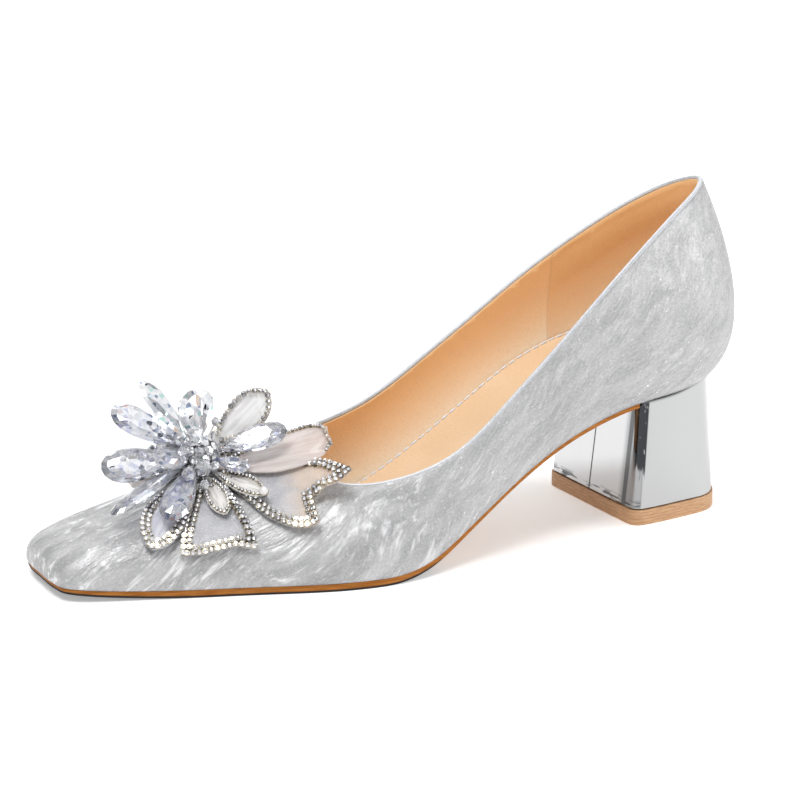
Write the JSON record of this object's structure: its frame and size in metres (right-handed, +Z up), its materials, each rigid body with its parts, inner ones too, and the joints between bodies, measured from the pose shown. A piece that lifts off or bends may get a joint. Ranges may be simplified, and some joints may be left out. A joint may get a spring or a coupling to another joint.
{
  "type": "block heel shoe",
  "caption": "Left block heel pump with a soft square toe, low throat, open collar, mirror-finish block heel and a crystal and organza flower sewn on the vamp",
  "frame": {"origin": "on the floor, under the middle of the shoe's bounding box", "axes": "+X from the toe to the heel, +Y towards the inner side of the left foot, +Z up from the floor"},
  "size_m": [0.2382, 0.0787, 0.1057],
  "materials": {
    "upper_fabric": "silver grey glitter fabric with pale brushed streaks",
    "sole_leather": "tan leather with a burnished edge",
    "insole_leather": "soft tan leather sock",
    "heel_mirror": "mirror-finish plated block",
    "tip_leather": "stacked tan layers",
    "crystal": "faceted clear crystal with a lilac tint",
    "organza": "sheer lilac organza with a rhinestone chain edge",
    "leaf_cloth": "pale silver cloth with a rhinestone chain edge",
    "heart_stones": "small set rhinestones"
  },
  "bodies": {
    "root": {"upper": "upper_fabric", "outsole": "sole_leather", "insole": "insole_leather", "heel": "heel_mirror", "heel_tip": "tip_leather", "flower_heart": "heart_stones", "drop_top": "crystal", "drop_rear_outer": "crystal", "drop_small": "crystal", "drop_rear_inner": "crystal", "drop_inner": "crystal", "drop_front_inner": "crystal", "drop_front_high": "crystal", "drop_front_upper": "crystal", "drop_front": "crystal", "drop_front_low": "crystal", "drop_front_outer": "crystal", "drop_outer": "crystal", "petal_rear_outer": "organza", "petal_front_outer": "organza", "petal_front_inner": "organza", "petal_rear_inner": "organza", "petal_curled": "organza", "small_leaf_rear": "leaf_cloth", "small_leaf_front": "leaf_cloth", "leaf_front_outer": "leaf_cloth", "leaf_rear_outer": "leaf_cloth", "leaf_front_inner": "leaf_cloth", "leaf_rear_inner": "leaf_cloth"}
  },
  "joints": []
}
